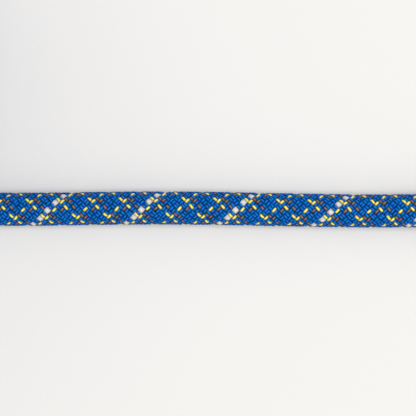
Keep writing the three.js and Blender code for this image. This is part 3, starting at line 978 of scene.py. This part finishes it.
class ROPE_OT_stage(bpy.types.Operator):
    """Lay the pale floor, hang the soft lights and set the camera over the straight stretch"""

    bl_idname = "rope.stage"
    bl_label = "Stage"

    def execute(self, context):
        stage = context.scene.rope_stage
        rope = context.scene.rope_sheath
        winding, _, _, _ = planned(context)
        middle = WAIST + np.array((winding.fold_x + VIEW_START + stage.view_width / 2, -winding.side, 0))
        floor = bpy.data.meshes.new("stage_floor")
        reach = 6.0
        floor.from_pydata([(-reach, -reach, 0), (reach, -reach, 0), (reach, reach, 0), (-reach, reach, 0)],
                          [], [(0, 1, 2, 3)])
        floor.materials.append(floor_material(stage.floor_colour))
        floor = bpy.data.objects.new("stage_floor", floor)
        context.collection.objects.link(floor)
        camera = bpy.data.cameras.new("view")
        camera.lens = stage.lens
        camera.clip_start, camera.clip_end = 0.01, 50.0
        height = stage.view_width * stage.lens / camera.sensor_width + rope.diameter / 2
        view = bpy.data.objects.new("view", camera)
        view.location = (middle[0], middle[1] + VIEW_SHIFT, height)
        context.collection.objects.link(view)
        context.scene.camera = view
        context.scene.view_settings.view_transform = "Standard"
        self.light(context, "overhead", (middle[0] + 0.1, middle[1] + 0.02, 1.3), 0.7, 8.0)
        self.light(context, "window", (middle[0] + 1.4, middle[1] - 0.05, 1.2), 0.8, 6.3)
        world = bpy.data.worlds.new("studio") if context.scene.world is None else context.scene.world
        context.scene.world = world
        world.use_nodes = True
        background = world.node_tree.nodes["Background"]
        background.inputs["Color"].default_value = (1.0, 1.0, 1.0, 1.0)
        background.inputs["Strength"].default_value = 0.62
        return {"FINISHED"}

    @staticmethod
    def light(context, name, place, size, power):
        lamp = bpy.data.lights.new(name, "AREA")
        lamp.shape, lamp.size, lamp.energy = "DISK", size, power
        light = bpy.data.objects.new(name, lamp)
        light.location = place
        aim = np.array(place) - WAIST - np.array((0.2, 0, 0))
        yaw = math.atan2(aim[1], aim[0])
        tilt = math.atan2(math.hypot(aim[0], aim[1]), aim[2])
        light.rotation_euler = (0, tilt, yaw)
        context.collection.objects.link(light)


class ROPE_OT_core(bpy.types.Operator):
    """Twist the twelve core strands that fill the straight stretch's sheath"""

    bl_idname = "rope.core"
    bl_label = "Core strands"

    def execute(self, context):
        _, _, line, _ = planned(context)
        material = core_material()
        for node in sorted(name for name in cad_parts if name.startswith("core_strand")):
            strand = make_core_strand(line, node).piece("twisted_" + node, [material])
            placed(strand, "core_yarn", node)
        return {"FINISHED"}


class ROPE_OT_tape(bpy.types.Operator):
    """Lay the plain maker's tape among the core strands"""

    bl_idname = "rope.tape"
    bl_label = "Identification tape"

    def execute(self, context):
        _, _, line, _ = planned(context)
        placed(make_tape(line).piece("film_tape", [tape_material()]), "id_tape", "id_tape")
        return {"FINISHED"}


class ROPE_OT_end_bands(bpy.types.Operator):
    """Shrink a sleeve over the sheath at each end of the rope"""

    bl_idname = "rope.end_bands"
    bl_label = "End bands"

    def execute(self, context):
        material = band_material(context.scene.rope_sheath)
        for end, line in rope_ends(context):
            placed(make_band(line).piece(end + "_sleeve", [material]), "end_band", end + "_end_band")
        return {"FINISHED"}


class ROPE_OT_fused_tips(bpy.types.Operator):
    """Melt the yarns together at each end of the rope"""

    bl_idname = "rope.fused_tips"
    bl_label = "Fused tips"

    def execute(self, context):
        material = tip_material(context.scene.rope_sheath)
        for seed, (end, line) in enumerate(rope_ends(context)):
            placed(make_tip(line, seed).piece(end + "_melt", [material]), "fused_tip", end + "_fused_tip")
        return {"FINISHED"}


class ROPE_OT_straight(bpy.types.Operator):
    """Braid the sheath of the straight stretch, yarn by yarn"""

    bl_idname = "rope.straight"
    bl_label = "Straight stretch"

    def execute(self, context):
        rope = context.scene.rope_sheath
        _, _, line, join = planned(context)
        materials = [
            yarn_material("yarn_blue", rope.blue, rope.carriers, 0.65, MAIN_DIVE, TURN_IN),
            yarn_material("yarn_yellow", rope.yellow, rope.carriers, 0.2, TRACER_DIVE, TURN_IN),
            yarn_material("yarn_brown", rope.brown, rope.carriers, 0.7, TRACER_DIVE, TURN_IN),
            yarn_material("yarn_white", rope.white, rope.carriers, 0.25, MAIN_DIVE, WHITE_TURN_IN)]
        braid = make_sheath(rope, line, join).piece("straight_braid", materials)
        placed(braid, "sheath_weave", "sheath")
        return {"FINISHED"}


class ROPE_OT_hank(bpy.types.Operator):
    """Wind the rest of the rope into its hank, up to the end that comes out of the left fold"""

    bl_idname = "rope.hank"
    bl_label = "Hank"

    def execute(self, context):
        rope = context.scene.rope_sheath
        _, line, _, join = planned(context)
        wound = make_wound_rope(rope, line, join).piece("wound_rope", [braid_material(rope)])
        placed(wound, "sheath_weave", "hank", "tail")
        return {"FINISHED"}


class ROPE_OT_strap(bpy.types.Operator):
    """Fold the webbing tie round the hank's waist and through the buckle"""

    bl_idname = "rope.strap"
    bl_label = "Tie strap"

    def execute(self, context):
        scene = context.scene
        winding, _, _, _ = planned(context)
        strap = make_strap(winding, scene.rope_tie).piece("webbing_strap", [webbing_material()])
        placed(strap, "tie_webbing", "tie_strap")
        return {"FINISHED"}


class ROPE_OT_buckle(bpy.types.Operator):
    """Bend the ladder ring that joins the strap's two ends"""

    bl_idname = "rope.buckle"
    bl_label = "Tie buckle"

    def execute(self, context):
        scene = context.scene
        winding, _, _, _ = planned(context)
        ring = make_buckle(winding, scene.rope_tie).piece("ladder_ring", [buckle_material()])
        placed(ring, "tie_buckle", "tie_buckle")
        return {"FINISHED"}


class ROPE_PT_panel(bpy.types.Panel):
    """The rope's settings and the operators that build it"""

    bl_idname = "ROPE_PT_panel"
    bl_label = "Climbing rope"
    bl_space_type = "VIEW_3D"
    bl_region_type = "UI"
    bl_category = "Rope"

    def draw(self, context):
        layout = self.layout
        for settings in (context.scene.rope_sheath, context.scene.rope_hank, context.scene.rope_tie,
                         context.scene.rope_stage):
            box = layout.box()
            for name in settings.bl_rna.properties.keys():
                if name not in ("rna_type", "name"):
                    box.prop(settings, name)
        for operator in OPERATORS:
            layout.operator(operator.bl_idname)


SETTINGS = {"rope_sheath": RopeSheathSettings, "rope_hank": RopeHankSettings,
            "rope_tie": RopeTieSettings, "rope_stage": RopeStageSettings}
OPERATORS = (ROPE_OT_core, ROPE_OT_tape, ROPE_OT_end_bands, ROPE_OT_fused_tips, ROPE_OT_straight,
             ROPE_OT_hank, ROPE_OT_strap, ROPE_OT_buckle, ROPE_OT_stage)


def register():
    for group in SETTINGS.values():
        bpy.utils.register_class(group)
    for operator in OPERATORS:
        bpy.utils.register_class(operator)
    bpy.utils.register_class(ROPE_PT_panel)
    for name, group in SETTINGS.items():
        setattr(bpy.types.Scene, name, PointerProperty(type=group))


def unregister():
    for name in SETTINGS:
        delattr(bpy.types.Scene, name)
    bpy.utils.unregister_class(ROPE_PT_panel)
    for known in (*OPERATORS[::-1], *SETTINGS.values()):
        bpy.utils.unregister_class(known)


def main():
    register()
    bpy.ops.rope.core()
    bpy.ops.rope.tape()
    bpy.ops.rope.end_bands()
    bpy.ops.rope.fused_tips()
    bpy.ops.rope.straight()
    bpy.ops.rope.hank()
    bpy.ops.rope.strap()
    bpy.ops.rope.buckle()
    bpy.ops.rope.stage()


if __name__ == "__main__":
    main()
